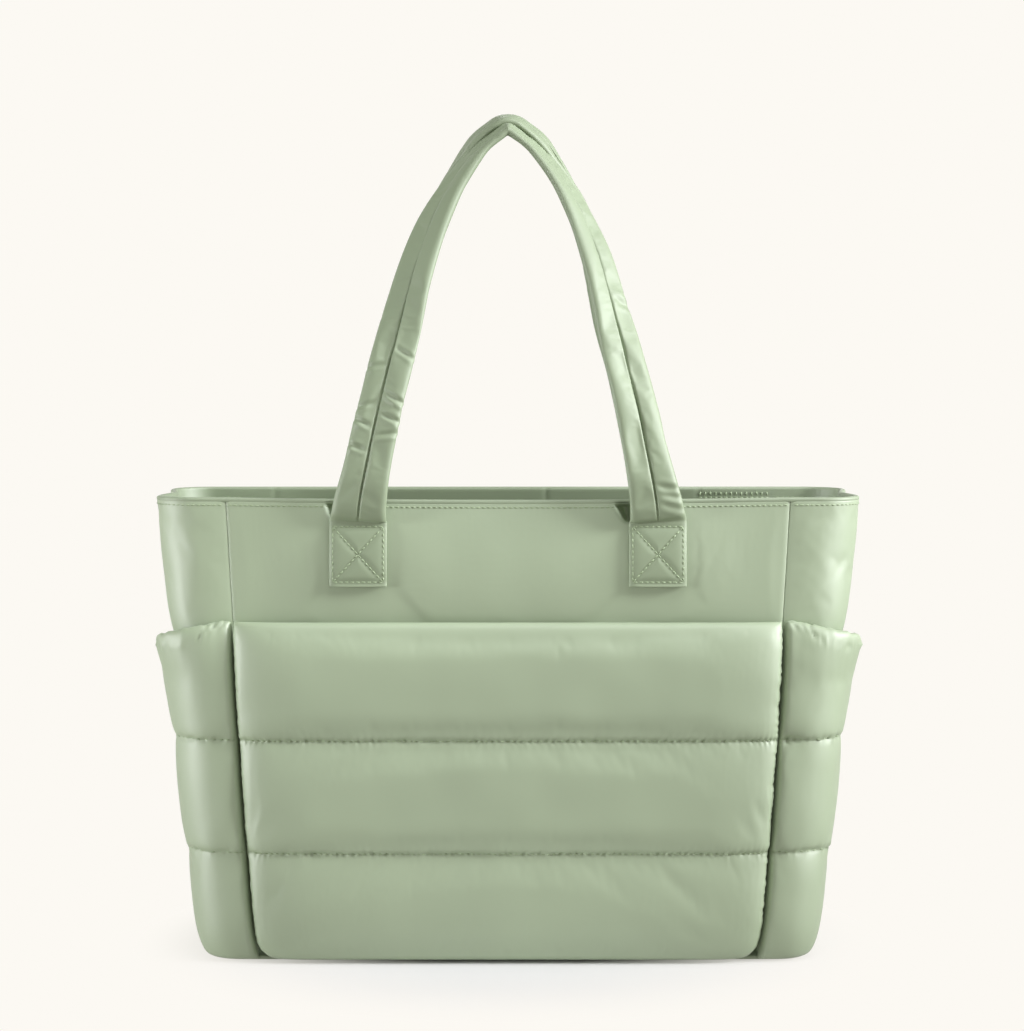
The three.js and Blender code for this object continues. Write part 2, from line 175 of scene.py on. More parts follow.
class TotePadding(PropertyGroup):
    """Sizes of the padded channels and the settings of their cloth simulation."""

    sewn: length("Sewn thickness", "Thickness of a pocket on its sewn lines", 0.0026)
    front_puff: length("Front puff", "How far the front channels stand out", 0.010)
    side_puff: length("Side puff", "How far the side channels stand out", 0.005)
    back_puff: length("Back puff", "How far the back channels stand out", 0.013)
    front_slack: length("Front slack", "Room behind the mouth of the front pocket", 0.0075)
    side_slack: length("Side slack", "Room behind the mouths of the side pockets", 0.0075)
    held: FloatProperty(name="Held", description="Share of the puff that stays on a sewn line", default=0.58)
    overhang: length("Overhang", "How far the front pocket swells sideways over its seams", 0.004)
    pucker: length("Pucker", "Size of the fine folds beside the sewn lines", 0.0034)
    pucker_depth: length("Pucker depth", "Depth of the fine folds beside the sewn lines", 0.0012)
    mouth_drop: length("Mouth drop", "How far the side mouths dip away from the corner seams", 0.017)
    start: FloatProperty(name="Start", description="Share of the puff before the simulation", default=0.95)
    pressure: FloatProperty(name="Pressure", description="Air pressure that stands for the wadding", default=4)
    ease_cloth: FloatProperty(name="Spare cloth", description="Share of spare cloth that puckers", default=0.008)
    uneven: length("Unevenness", "How far the wadding lies off an even shape", 0.0006)
    uneven_size: length("Unevenness size", "Size of the wadding's uneven patches", 0.03)
    frames: IntProperty(name="Frames", description="Frames of each simulation", default=20, min=2)


class ToteHandles(PropertyGroup):
    """Sizes of the straps' sewn ends."""

    tab_width: length("Sewn end width", "Width of a strap's flat sewn end", 0.039)
    tab_top: length("Sewn end top", "Height where a strap leaves the panel", 0.2855)
    tab_reach: length("Sewn end reach", "Distance of a sewn end from the middle", 0.0965)
    tab_spread: length("Back spread", "How much further out the back sewn ends lie", 0.006)
    groove: FloatProperty(name="Groove", description="Share of the thickness lost at the middle seam", default=0.85)
    box_inset: length("Stitch box inset", "Distance of the stitched box from a sewn end's edges", 0.0032)
    quilt: length("Quilting", "How far a sewn end swells between its stitches", 0.0010)
    stitch_pitch: length("Stitch pitch", "Distance from stitch to stitch", 0.0035)
    stitch_length: length("Stitch length", "Length of a stitch", 0.0026)
    thread_radius: length("Thread radius", "Radius of the sewing thread", 0.00044)


class ToteFinish(PropertyGroup):
    """Colours and finish of the cloth and the thread."""

    satin: colour("Satin", "Face cloth", (0.328, 0.411, 0.254))
    # The straps' colour is the satin darkened: painted shade that stands in for the straps' shaded look, not a deeper
    # dye.
    strap: colour("Strap", "Cloth of the straps, a shade deeper", (0.250, 0.316, 0.190))
    facing: colour("Facing", "Cloth inside the rim", (0.270, 0.340, 0.205))
    thread: colour("Thread", "Sewing thread", (0.300, 0.385, 0.220))
    roughness: FloatProperty(name="Roughness", description="Roughness of the satin", default=0.52, min=0, max=1)
    lustre: FloatProperty(name="Lustre", description="Share of the colourless sheen", default=0.115, min=0, max=1)
    lustre_spread: FloatProperty(
        name="Lustre spread", description="Roughness of the sheen", default=0.62, min=0, max=1
    )
    weave: length("Weave", "Pitch of the weave", 0.00045)


class ToteStage(PropertyGroup):
    """Floor, light and camera."""

    background: colour("Background", "Colour of the surroundings", (0.973, 0.947, 0.896))
    floor: colour("Floor", "Colour of the floor", (0.75, 0.742, 0.745))
    ceiling: FloatProperty(name="Ceiling", description="Share of the surroundings' light from high up", default=0.3)
    front: FloatProperty(name="Front", description="Share of the surroundings' light from the front", default=0.68)
    bounce: FloatProperty(name="Bounce", description="Share of the floor's glow that lights the bag", default=0.55)
    key: FloatProperty(name="Key light", description="Power of the light on the right", default=790, unit="POWER")
    top: FloatProperty(name="Top light", description="Power of the light above the front", default=26, unit="POWER")
    fill: FloatProperty(name="Fill light", description="Power of the light on the left", default=560, unit="POWER")
    lens: FloatProperty(name="Lens", description="Focal length", default=103.18, unit="CAMERA")


def ease(t):
    t = np.clip(t, 0, 1)
    return t * t * (3 - 2 * t)


def mix(a, b, t):
    return a + (b - a) * t


def round_off(t):
    return np.sqrt(1 - (1 - np.clip(t, 0, 1)) ** 2)


def plump(t, sag):
    """Profile of a padded channel from its lower sewn line to its upper one; sag below 1 lets the wadding sink."""
    middle = 2 * np.clip(t, 0, 1) ** sag - 1
    return (1 - np.abs(middle) ** np.where(middle < 0, 4.2, 3)) ** 0.5


def smooth_through(knots, values, at):
    """A cubic curve through rows of values, its slopes taken from the neighbours on both sides."""
    steps = np.arange(len(knots))
    low, high = np.maximum(steps - 1, 0), np.minimum(steps + 1, len(knots) - 1)
    slopes = (values[high] - values[low]) / (knots[high] - knots[low])[:, None]
    at = np.asarray(at, float)
    i = np.clip(np.searchsorted(knots, at, side="right") - 1, 0, len(knots) - 2)
    span = (knots[i + 1] - knots[i])[..., None]
    t = (at - knots[i])[..., None] / span
    return (
        values[i] * (1 + 2 * t) * (1 - t) ** 2
        + values[i + 1] * t**2 * (3 - 2 * t)
        + span * t * (1 - t) * (slopes[i] * (1 - t) - slopes[i + 1] * t)
    )


def body_at(height):
    """Half width, half depth, corner seam and corner radius at a height."""
    return np.moveaxis(smooth_through(BODY_SECTIONS[:, 0], BODY_SECTIONS[:, 1:], height), -1, 0)


def yoke_crown(x, height, back=False):
    """Swell of the plain upper panels, none at the pocket mouth, the rim and the corner seams."""
    body, handles = bpy.context.scene.tote_body, bpy.context.scene.tote_handles
    t = np.clip((height - POCKET_MOUTH) / (RIM - POCKET_MOUTH), 0, 1)
    swell = body.yoke_crown * np.sin(math.pi * t) * ease((body_at(height)[2] - np.abs(x)) / body.yoke_fade)
    if not back:
        t = np.clip((height - handles.tab_top) / (RIM - handles.tab_top), 0, 1)
        rise = ease(t / 0.3) * ease((1 - t) / 0.15)
        for middle, far, near, depth in RIM_DENTS:
            reach = np.where(x < middle, far * np.maximum(t, 0.05), near)
            swell = swell - depth * rise * ease(1.2 * (1 - np.abs(x - middle) / reach))
    return swell


def rim_drop(x, height):
    """How far the front panel hangs below a straight rim."""
    body = bpy.context.scene.tote_body
    middle = 1 - (x / body_at(RIM)[2]) ** 2
    return body.rim_sag * middle * ease((height - POCKET_MOUTH) / (RIM - POCKET_MOUTH))


def gusset(height, share):
    """Right gusset, 0 at its front seam and 1 at its back: x, y, way out, and distance from the nearer seam."""
    half_width, half_depth, seam, corner = body_at(height)
    corner_x, corner_y = half_width - corner, half_depth - corner
    flat, arc = corner_x - seam, corner * math.pi / 2
    from_seam = np.minimum(share, 1 - share) * 2 * (flat + arc + corner_y)
    back = np.where(share > 0.5, 1.0, -1.0)
    angle = np.clip((from_seam - flat) / corner, 0, math.pi / 2)
    on_side = np.clip((from_seam - flat - arc) / corner_y, 0, 1)
    above = ease((height - POCKET_MOUTH) / (RIM - POCKET_MOUTH))
    dent = bpy.context.scene.tote_body.side_dent * ease(on_side) * above
    x = seam + np.minimum(from_seam, flat) + corner * np.sin(angle) - dent
    y = back * (corner_y * (1 - on_side) + corner * np.cos(angle))
    return x, y, np.sin(angle), back * np.cos(angle), from_seam


def channel_edges(foot, mouth):
    body = bpy.context.scene.tote_body
    return [foot, body.lower_seam, body.upper_seam, mouth]


def channel_heights(foot, mouth, rows):
    """Row heights of three channels, closer beside the sewn lines; mouth may differ from column to column."""
    t = np.arange(1, rows + 1) / rows
    t = mix(t, ease(t), 0.6)
    mouth = np.asarray(mouth, float)[..., None]
    edges = channel_edges(foot + 0 * mouth, mouth)
    spans = [mix(low, high, t) for low, high in zip(edges, edges[1:])]
    return np.concatenate([edges[0] + 0 * mouth, *[s + 0 * mouth for s in spans]], axis=-1)


def channel_puff(height, foot, mouth):
    """Share of the wadding that shows at a height: none at the foot and the mouth, a little on the sewn lines."""
    held = bpy.context.scene.tote_padding.held
    puff = np.zeros_like(height)
    edges = channel_edges(foot, mouth)
    for low, high, sag, below, above in zip(edges, edges[1:], CHANNEL_SAG, (0, held, held), (held, held, 0)):
        t = (height - low) / (high - low)
        base = mix(below, above, t)
        puff = np.where((height >= low) & (height <= high), base + (1 - base) * plump(t, sag), puff)
    return puff


def wobble(points, size, seed):
    """Smooth noise from -1 to 1 at each point."""
    flat = points.reshape(-1, 3) / size + seed * 7.31
    return np.array([noise.noise(Vector(p)) for p in flat]).reshape(points.shape[:-1])


def pucker(piece, away, seed, upright=False, depth=(1.0, 1.0)):
    """Gathers a finished pad beside its sewn lines into fine folds; depth is for the left half and the right."""
    padding = bpy.context.scene.tote_padding
    mesh = piece.data
    points, normals = coordinates(mesh), coordinates(mesh, "normals")
    flat = points * (np.array([0.12, 0.12, 1]) if upright else np.array([1, 1, 0.12]))
    run = points[:, 2] if upright else np.abs(points[:, 0]) + points[:, 1]
    far = np.abs(away(points))
    coarse = wobble(flat, padding.pucker * 4.5, seed + 1)
    folds = np.cos(math.tau * run / (padding.pucker * 1.4) + 3 * coarse) * (0.2 + 0.3 * coarse)
    folds = (folds + 0.7 * wobble(flat, padding.pucker, seed)) * np.exp(-far / (padding.pucker * 0.6))
    gathered = 0.5 if upright else 0.6 + np.exp(-from_corner_seam(points) / 0.015)
    folds += gathered * coarse * np.exp(-far / (padding.pucker * 3))
    outside = (normals[:, :2] * (points[:, :2] - np.array([0, MID_DEPTH]))).sum(axis=1) > 0
    deep = padding.pucker_depth * np.where(points[:, 0] < 0, *depth)
    moved = points + normals * (deep * folds * outside)[:, None]
    mesh.vertices.foreach_set("co", moved.astype(np.float32).ravel())
    mesh.update()


def from_corner_seam(at):
    """Distance of points from the upright seam at the nearest corner."""
    return np.abs(np.abs(at[:, 0]) - body_at(at[:, 2])[2])


def crisp_ends(columns, near):
    """The same columns with one more close to each end, so that smoothing leaves the edges where they are."""
    first, last = mix(columns[:1], columns[1:2], near), mix(columns[-1:], columns[-2:-1], near)
    return np.concatenate([columns[:1], first, columns[1:-1], last, columns[-1:]])


def off_tabs(x, height, spread):
    """0 under the handles' sewn ends, 1 well away from them."""
    handles = bpy.context.scene.tote_handles
    aside = np.abs(np.abs(x) - handles.tab_reach - spread) - handles.tab_width / 2
    outside = np.maximum(aside, np.maximum(TAB_FOOT - height, height - handles.tab_top))
    return ease((outside - 0.001) / 0.03)


def outer_only(piece, free):
    """Freedom of every point of a shell: the outside's own, and none inside."""
    columns, rows = free.shape
    sides = len(piece.data.vertices) // columns
    return np.concatenate([free, np.zeros((columns, sides - rows))], axis=1)


def from_lines(height, lines):
    """Distance from the nearest of some level lines."""
    return np.min([np.abs(height - line) for line in lines], axis=0)


def placed(x, y, z):
    """Points in the frame from places measured about the bag's own mid-depth."""
    return np.stack(np.broadcast_arrays(x, y + MID_DEPTH, z), axis=-1).astype(float)


def mirrored(points):
    """The same grid on the left side, its columns reversed so that its faces still point out."""
    return points[::-1] * np.array([-1, 1, 1])


def loft(name, rings, caps=(), hoop=False):
    """A skin through rings of points, with cloth coordinates in metres."""
    count, sides = rings.shape[:2]
    i = np.arange(count if hoop else count - 1)[:, None]
    j = np.arange(sides)[None, :]
    near, far, after = i * sides, (i + 1) % count * sides, (j + 1) % sides
    quads = np.stack([near + j, far + j, far + after, near + after], axis=-1).reshape(-1, 4)
    mesh = bpy.data.meshes.new(name)
    mesh.from_pydata(rings.reshape(-1, 3).tolist(), [], quads.tolist() + list(caps))
    along = np.concatenate([[0], np.cumsum(np.linalg.norm(np.diff(rings, axis=0), axis=-1).mean(axis=1))])
    round_ring = np.concatenate([[0], np.cumsum(np.linalg.norm(np.diff(rings, axis=1), axis=-1).mean(axis=0))])
    cloth = np.stack(np.broadcast_arrays(along[:, None], round_ring[None, :]), axis=-1).reshape(-1, 2)
    corners = np.zeros(len(mesh.loops), np.int32)
    mesh.loops.foreach_get("vertex_index", corners)
    mesh.uv_layers.new(name="cloth").data.foreach_set("uv", cloth[corners].astype(np.float32).ravel())
    piece = bpy.data.objects.new(name, mesh)
    bpy.context.scene.collection.objects.link(piece)
    return piece


def shell(name, outside, inside, spacing, fine=1):
    """A closed cloth wall from grids of columns and rows; the inside keeps only some rows and the last few."""
    rows = outside.shape[1]
    keep = sorted({*range(0, rows, spacing), *range(rows - fine, rows)})
    rings = np.concatenate([outside, inside[:, keep[::-1]]], axis=1)
    last = (len(rings) - 1) * rings.shape[1]
    inner = {row: rows + len(keep) - 1 - k for k, row in enumerate(keep)}
    first_cap = [[*range(low, high + 1), inner[high], inner[low]] for low, high in zip(keep, keep[1:])]
    last_cap = [[last + v for v in reversed(face)] for face in first_cap]
    return loft(name, rings, first_cap + last_cap)


def coordinates(mesh, kind="places"):
    """Places or normals of a mesh's points."""
    flat = np.zeros(len(mesh.vertices) * 3, np.float32)
    if kind == "places":
        mesh.vertices.foreach_get("co", flat)
    else:
        mesh.vertex_normals.foreach_get("vector", flat)
    return flat.reshape(-1, 3).astype(float)


def inflate(piece, free, cap, pressure=1.0, spare=1.0):
    """Fills the wadding with Blender's cloth; free is 0 where a point is sewn down and 1 where it may move."""
    padding = bpy.context.scene.tote_padding
    scene = bpy.context.scene
    start = coordinates(piece.data)
    free = np.concatenate([free.ravel(), np.zeros(len(start) - free.size)])
    uneven = wobble(start, padding.uneven_size, len(piece.name)) * padding.uneven * np.clip(free, 0, 1)
    start += coordinates(piece.data, "normals") * uneven[:, None]
    piece.data.vertices.foreach_set("co", start.astype(np.float32).ravel())
    sewn = piece.vertex_groups.new(name="sewn")
    sewn.add(np.flatnonzero(free <= 0).tolist(), 1.0, "REPLACE")
    cloth = piece.modifiers.new("Cloth", "CLOTH")
    settings = cloth.settings
    settings.quality = 6
    settings.mass = 0.08
    settings.air_damping = 3
    settings.tension_stiffness = settings.compression_stiffness = 12
    settings.shear_stiffness = 4
    settings.bending_stiffness = 0.4
    settings.use_pressure = True
    settings.uniform_pressure_force = padding.pressure * pressure
    settings.shrink_min = -padding.ease_cloth * spare
    settings.vertex_group_mass = sewn.name
    settings.effector_weights.gravity = 0
    cloth.collision_settings.use_collision = False
    cloth.point_cache.frame_start, cloth.point_cache.frame_end = 1, padding.frames
    for step in range(1, padding.frames + 1):
        scene.frame_set(step)
    filled = piece.evaluated_get(bpy.context.evaluated_depsgraph_get())
    move = coordinates(filled.data) - start
    piece.modifiers.remove(cloth)
    scene.frame_set(1)
    far = np.linalg.norm(move, axis=1, keepdims=True)
    move *= np.minimum(1, cap * np.clip(free, 0, 1)[:, None] / np.maximum(far, 1e-9))
    piece.data.vertices.foreach_set("co", (start + move).astype(np.float32).ravel())
    piece.data.update()


def dress(piece, material, node=None, smooth_levels=1):
    """Smooths a finished piece, gives it its cloth and puts it on the frame in place of its CAD node."""
    if smooth_levels:
        subdivision = piece.modifiers.new("Subdivision", "SUBSURF")
        subdivision.levels = subdivision.render_levels = smooth_levels
        evaluated = piece.evaluated_get(bpy.context.evaluated_depsgraph_get())
        finer = bpy.data.meshes.new_from_object(evaluated)
        piece.modifiers.clear()
        piece.data = finer
    piece.vertex_groups.clear()
    piece.data.shade_smooth()
    piece.data.materials.clear()
    piece.data.materials.append(material)
    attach(piece, BODY)
    if node:
        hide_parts(node)
    return piece


def satin(name, tint, rough, lustre_share):
    """Satin nylon: a fine plain weave, a soft sheen, and faint changes of tone and gloss across the cloth."""
    material = bpy.data.materials.get(name)
    if material:
        return material
    finish = bpy.context.scene.tote_finish
    material = bpy.data.materials.new(name)
    material.use_nodes = True
    nodes, links = material.node_tree.nodes, material.node_tree.links
    shader = nodes["Principled BSDF"]
    shader.inputs["Sheen Weight"].default_value = 0.15
    shader.inputs["Sheen Roughness"].default_value = 0.35
    shader.inputs["Specular IOR Level"].default_value = 0.5

    where = nodes.new("ShaderNodeTexCoord")
    tone = nodes.new("ShaderNodeTexNoise")
    tone.inputs["Scale"].default_value = 9
    tone.inputs["Detail"].default_value = 4
    links.new(where.outputs["Object"], tone.inputs["Vector"])
    shades = nodes.new("ShaderNodeValToRGB")
    shades.color_ramp.elements[0].position, shades.color_ramp.elements[1].position = 0.3, 0.7
    shades.color_ramp.elements[0].color = (*[c * 0.95 for c in tint], 1)
    shades.color_ramp.elements[1].color = (*[min(1, c * 1.04) for c in tint], 1)
    links.new(tone.outputs["Fac"], shades.inputs["Fac"])
    links.new(shades.outputs["Color"], shader.inputs["Base Color"])

    gloss = nodes.new("ShaderNodeTexNoise")
    gloss.inputs["Scale"].default_value = 25
    gloss.inputs["Detail"].default_value = 3
    links.new(where.outputs["Object"], gloss.inputs["Vector"])
    shine = nodes.new("ShaderNodeMapRange")
    shine.inputs["To Min"].default_value = rough - 0.03
    shine.inputs["To Max"].default_value = rough + 0.03
    links.new(gloss.outputs["Fac"], shine.inputs["Value"])
    links.new(shine.outputs["Result"], shader.inputs["Roughness"])

    threads = []
    for direction in ("X", "Y"):
        thread = nodes.new("ShaderNodeTexWave")
        thread.bands_direction = direction
        thread.inputs["Scale"].default_value = 1 / (finish.weave * 20) * math.pi
        thread.inputs["Distortion"].default_value = 0.4
        links.new(where.outputs["UV"], thread.inputs["Vector"])
        threads.append(thread)
    weave = nodes.new("ShaderNodeMath")
    weave.operation = "MAXIMUM"
    links.new(threads[0].outputs["Fac"], weave.inputs[0])
    links.new(threads[1].outputs["Fac"], weave.inputs[1])
    lustre = nodes.new("ShaderNodeBsdfGlossy")
    lustre.inputs["Roughness"].default_value = finish.lustre_spread
    blend = nodes.new("ShaderNodeMixShader")
    blend.inputs["Fac"].default_value = lustre_share
    links.new(shader.outputs["BSDF"], blend.inputs[1])
    links.new(lustre.outputs["BSDF"], blend.inputs[2])
    links.new(blend.outputs["Shader"], nodes["Material Output"].inputs["Surface"])
    relief = nodes.new("ShaderNodeBump")
    relief.inputs["Strength"].default_value = 0.05
    relief.inputs["Distance"].default_value = 0.00005
    links.new(weave.outputs["Value"], relief.inputs["Height"])
    links.new(relief.outputs["Normal"], shader.inputs["Normal"])
    links.new(relief.outputs["Normal"], lustre.inputs["Normal"])
    return material


def face_cloth():
    finish = bpy.context.scene.tote_finish
    return satin("sage_satin", finish.satin, finish.roughness, finish.lustre)


# The face satin with painted shade in its colour: a darker copy that makes the straps look shaded.
def strap_cloth_painted_shade():
    finish = bpy.context.scene.tote_finish
    return satin("strap_satin", finish.strap, finish.roughness + 0.08, finish.lustre * 0.6)


def facing_cloth():
    finish = bpy.context.scene.tote_finish
    return satin("facing_satin", finish.facing, finish.roughness + 0.08, finish.lustre)


def sewing_thread():
    finish = bpy.context.scene.tote_finish
    return satin("sewing_thread", finish.thread, 0.55, 0.06)


class TOTE_OT_stage(Operator):
    """Adds the camera, the floor and the lights"""

    bl_idname = "tote.stage"
    bl_label = "Stage"

    def execute(self, context):
        scene, stage = context.scene, context.scene.tote_stage
        scene.view_settings.view_transform = "Standard"
        camera = bpy.data.objects.new("camera", bpy.data.cameras.new("camera"))
        camera.data.lens = stage.lens
        camera.data.sensor_width = 36
        camera.location = CAMERA_PLACE
        camera.rotation_euler = (math.pi / 2 - CAMERA_DOWN, 0, 0)
        scene.collection.objects.link(camera)
        scene.camera = camera

        world = bpy.data.worlds.new("studio")
        world.use_nodes = True
        nodes, links = world.node_tree.nodes, world.node_tree.links
        sky = nodes["Background"]
        sky.inputs["Color"].default_value = (*stage.background, 1)
        where = nodes.new("ShaderNodeTexCoord")
        height = nodes.new("ShaderNodeSeparateXYZ")
        links.new(where.outputs["Generated"], height.inputs["Vector"])
        dusk = self.fade(nodes, 0.15, 0.5, 1, stage.ceiling)
        links.new(height.outputs["Z"], dusk.inputs["Value"])
        behind = self.fade(nodes, 0.3, 0.9, stage.front, 1)
        links.new(height.outputs["Y"], behind.inputs["Value"])
        strength = nodes.new("ShaderNodeMath")
        strength.operation = "MULTIPLY"
        links.new(dusk.outputs["Result"], strength.inputs[0])
        links.new(behind.outputs["Result"], strength.inputs[1])
        shown = self.seen(nodes, links)
        links.new(strength.outputs["Value"], shown.inputs[1])
        links.new(shown.outputs["Value"], sky.inputs["Strength"])
        scene.world = world

        reach = 12
        mesh = bpy.data.meshes.new("floor")
        turns = np.linspace(0, math.tau, 64, endpoint=False)
        ring = [(reach * math.cos(angle), reach * math.sin(angle), 0) for angle in turns]
        mesh.from_pydata(ring, [], [list(range(len(ring)))])
        floor = bpy.data.objects.new("floor", mesh)
        scene.collection.objects.link(floor)
        mesh.materials.append(self.floor_paint(stage))

        upper_right, lower_left = (0.12, 0, 0.40), (-0.2, 0, 0.12)
        self.softbox("key_light", (2.85, -0.65, 1.45), 1.0, stage.key, aim=upper_right, cone=math.radians(26))
        self.softbox("top_light", (0.5, -0.65, 2.3), 1.2, stage.top)
        self.softbox("left_light", (-2.8, -0.65, 0.25), 0.9, stage.fill, aim=lower_left, cone=math.radians(17))
        return {"FINISHED"}

    def fade(self, nodes, start, end, first, last):
        """A smooth step from one value to another."""
        step = nodes.new("ShaderNodeMapRange")
        step.interpolation_type = "SMOOTHSTEP"
        step.inputs["From Min"].default_value, step.inputs["From Max"].default_value = start, end
        step.inputs["To Min"].default_value, step.inputs["To Max"].default_value = first, last
        return step

    def seen(self, nodes, links):
        """Full strength for what is seen straight on; the second input is the strength for what lights the bag."""
        ray = nodes.new("ShaderNodeLightPath")
        strength = nodes.new("ShaderNodeMath")
        strength.operation = "MAXIMUM"
        links.new(ray.outputs["Is Camera Ray"], strength.inputs[0])
        return strength

    def softbox(self, name, place, size, power, aim=(0, 0, 0.25), cone=math.pi):
        """A soft light; one with a narrow cone is a spot."""
        light = bpy.data.lights.new(name, "AREA" if cone == math.pi else "SPOT")
        light.energy = power
        light.color = LAMP_TINT
        if cone == math.pi:
            light.size = size
        else:
            light.shadow_soft_size, light.spot_size, light.spot_blend = size / 2, cone, 1
        lamp = bpy.data.objects.new(name, light)
        lamp.location = place
        lamp.rotation_euler = (Vector(aim) - Vector(place)).to_track_quat("-Z", "Y").to_euler()
        bpy.context.scene.collection.objects.link(lamp)

    def floor_paint(self, stage):
        """Pale matt floor that fades into the colour of the surroundings away from the bag."""
        paint = bpy.data.materials.new("pale_floor")
        paint.use_nodes = True
        nodes, links = paint.node_tree.nodes, paint.node_tree.links
        matt = nodes["Principled BSDF"]
        matt.inputs["Base Color"].default_value = (*stage.floor, 1)
        matt.inputs["Roughness"].default_value = 0.9
        matt.inputs["Specular IOR Level"].default_value = 0.1
        glow = nodes.new("ShaderNodeEmission")
        glow.inputs["Color"].default_value = (*stage.background, 1)
        where = nodes.new("ShaderNodeTexCoord")
        away = nodes.new("ShaderNodeVectorMath")
        away.operation = "LENGTH"
        links.new(where.outputs["Object"], away.inputs[0])
        fade = self.fade(nodes, 0.08, 0.25, 0, 1)
        links.new(away.outputs["Value"], fade.inputs["Value"])
        strength = self.seen(nodes, links)
        strength.inputs[1].default_value = stage.bounce
        links.new(strength.outputs["Value"], glow.inputs["Strength"])
        blend = nodes.new("ShaderNodeMixShader")
        links.new(fade.outputs["Result"], blend.inputs["Fac"])
        links.new(matt.outputs["BSDF"], blend.inputs[1])
        links.new(glow.outputs["Emission"], blend.inputs[2])
        links.new(blend.outputs["Shader"], nodes["Material Output"].inputs["Surface"])
        return paint


class TOTE_OT_front_panel(Operator):
    """Adds the front wall, a soft yoke above the pocket"""

    bl_idname = "tote.front_panel"
    bl_label = "Front Panel"

    def execute(self, context):
        body = context.scene.tote_body
        low, high = POCKET_MOUTH - 0.02, RIM - 0.018
        rows = [(PANEL_FOOT, low, 7), (low, high, 32), (high, RIM - LAST_ROW, 12)]
        heights = np.concatenate([np.linspace(start, end, count, endpoint=False) for start, end, count in rows])
        heights = np.concatenate([heights, [RIM - LAST_ROW, RIM]])
        u = crisp_ends(np.linspace(-1, 1, 181), 0.12)[:, None]
        height = heights[None, :] + 0 * u
        seam = body_at(height)[2]
        x = u * (seam - body.gap / 2)
        y = -body_at(height)[1] - yoke_crown(x, height)
        edge = np.maximum(0, 1 - (seam - np.abs(x)) / TURN_REACH)
        y = y + TURN_DEPTH * edge**2
        outside = placed(x, y, height - rim_drop(x, height))
        panel = shell("front_panel_cloth", outside, outside + np.array([0, body.wall, 0]), 4, 14)
        free = ease((seam - np.abs(x)) / 0.03) * (height > POCKET_MOUTH - 0.015) * ease((RIM - height) / RIM_HOLD)
        free = free * off_tabs(x, height, 0)
        inflate(panel, outer_only(panel, free), 0.0024, 0.4, 0.0)
        dress(panel, face_cloth(), "front_panel")
        return {"FINISHED"}


class TOTE_OT_back_panel(Operator):
    """Adds the back wall with its three padded channels"""

    bl_idname = "tote.back_panel"
    bl_label = "Back Panel"

    def execute(self, context):
        body, padding = context.scene.tote_body, context.scene.tote_padding
        lower = channel_heights(PANEL_FOOT, POCKET_MOUTH, 20)
        heights = np.concatenate([lower, np.linspace(POCKET_MOUTH, RIM, 25)[1:]])
        u = np.linspace(1, -1, 131)[:, None]
        u = crisp_ends(mix(u, np.sin(u * math.pi / 2), 0.5)[:, 0], 0.15)[:, None]
        height = heights[None, :] + 0 * u
        half = body_at(height)[2] - body.gap / 2
        x = half * u
        from_seam = half - np.abs(x)
        wall = body_at(height)[1] + yoke_crown(x, height, back=True)
        puff = channel_puff(height, PANEL_FOOT, POCKET_MOUTH)
        swell = padding.back_puff * padding.start * puff * round_off(from_seam / 0.026)
        panel = shell("back_panel_cloth", placed(x, wall + swell, height), placed(x, wall - body.wall, height), 6)
        free = ease(from_lines(height, channel_edges(PANEL_FOOT, POCKET_MOUTH)) / LINE_HOLD) * ease(from_seam / 0.012)
        free = free * ease((RIM - height) / RIM_HOLD) * off_tabs(x, height, context.scene.tote_handles.tab_spread)
        inflate(panel, outer_only(panel, free), 0.006)
        dress(panel, face_cloth(), "back_panel")
        pucker(panel, lambda at: from_lines(at[:, 2], channel_edges(PANEL_FOOT, POCKET_MOUTH)[1:]), 11)
        return {"FINISHED"}


class TOTE_OT_side_panels(Operator):
    """Adds both gussets"""

    bl_idname = "tote.side_panels"
    bl_label = "Side Panels"

    def execute(self, context):
        body = context.scene.tote_body
        covered = 0.18  # the side pockets hide the gussets up to here
        low, high = np.linspace(PANEL_FOOT, covered, 8)[:-1], np.linspace(covered, RIM - LAST_ROW, 40)
        heights = np.concatenate([low, high, [RIM]])
        share = crisp_ends(np.linspace(0, 1, 81), 0.1)[:, None] + 0 * heights
        height = heights[None, :] + 0 * share
        x, y, out_x, out_y, from_seam = gusset(height, share)
        edge = np.maximum(0, 1 - from_seam / TURN_REACH) ** 2 * TURN_DEPTH
        x = x - body.gap * 0.45 * (from_seam == 0)
        outside = placed(x - edge * out_x, y - edge * out_y, height)
        inside = placed(x - body.wall * out_x, y - body.wall * out_y, height)
        free = ease(from_seam / 0.02) * (height > 0.19) * ease((RIM - height) / RIM_HOLD)
        for name, turn in (("right_side_panel", np.array), ("left_side_panel", mirrored)):
            panel = shell(name + "_cloth", turn(outside), turn(inside), 4)
            inflate(panel, outer_only(panel, free), 0.003, 0.3, 0.2)
            dress(panel, face_cloth(), name)
        return {"FINISHED"}


class TOTE_OT_base_panel(Operator):
    """Adds the flat bottom"""

    bl_idname = "tote.base_panel"
    bl_label = "Base Panel"

    def execute(self, context):
        share = np.linspace(0, 1, 49)
        x, y, *_ = gusset(0 * share, share)
        outline = np.concatenate([np.stack([x, y], -1), np.stack([-x, y], -1)[::-1]])
        edge_round = 0.0008
        levels = [(0, edge_round), (edge_round, 0), (BASE_TOP - edge_round, 0), (BASE_TOP, edge_round)]
        back = np.array([inward for _, inward in levels])[None, :, None]
        flat = outline[:, None, :] * (1 - back / np.linalg.norm(outline, axis=-1)[:, None, None])
        rings = placed(flat[..., 0], flat[..., 1], np.array([z for z, _ in levels])[None, :])
        rings = rings.transpose(1, 0, 2)
        sides = rings.shape[1]
        caps = [list(reversed(range(sides))), [3 * sides + k for k in range(sides)]]
        base = loft("base_panel_cloth", rings[:, ::-1], [c[::-1] for c in caps])
        dress(base, face_cloth(), "base_panel", smooth_levels=0)
        return {"FINISHED"}


